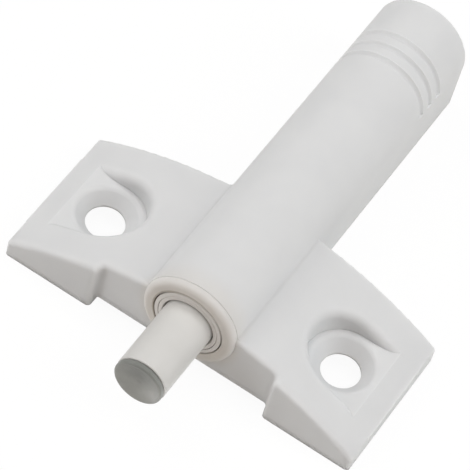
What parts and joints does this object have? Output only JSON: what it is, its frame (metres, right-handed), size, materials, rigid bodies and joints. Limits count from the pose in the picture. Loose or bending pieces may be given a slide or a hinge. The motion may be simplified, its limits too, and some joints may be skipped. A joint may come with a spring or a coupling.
{
  "type": "soft-close door damper",
  "caption": "Soft-close damper for a cabinet door: white plastic screw-on mount with arched wings and a round barrel, holding a sprung plunger with a soft grey bumper.",
  "frame": {"origin": "on the mounting plane, midway between the two screw holes, under the barrel", "axes": "+Z out of the mounting plane, +Y along the barrel from the plunger to the closed end, +X along the wings"},
  "size_m": [0.0538, 0.0732, 0.0151],
  "materials": {
    "housing_plastic": "fine matte moulded white",
    "sleeve_plastic": "smooth moulded off-white",
    "plunger_plastic": "smooth warm white",
    "bumper_rubber": "soft grey, slightly cloudy",
    "rod_steel": "ground",
    "spring_steel": "drawn wire",
    "piston_plastic": "moulded grey",
    "seal_rubber": "black",
    "foam_rubber": "closed-cell foam"
  },
  "bodies": {
    "mount": {"mount_housing": "housing_plastic", "damper_sleeve": "sleeve_plastic", "guide_ring": "sleeve_plastic", "piston_rod": "rod_steel", "piston": "piston_plastic", "piston_ring": "seal_rubber", "valve_disc": "piston_plastic", "return_spring": "spring_steel"},
    "plunger": {"plunger_tube": "plunger_plastic", "bumper_tip": "bumper_rubber", "foam_accumulator": "foam_rubber", "rod_guide": "piston_plastic", "rod_seal": "seal_rubber", "end_plug": "sleeve_plastic"}
  },
  "joints": [
    {"name": "plunger_slide", "type": "slide", "parent": "mount", "child": "plunger", "axis": [0, 1, 0], "range_m": [0, 0.01], "stiffness_N_per_m": 100, "springref_m": -0.008, "deforming": ["return_spring"]}
  ]
}
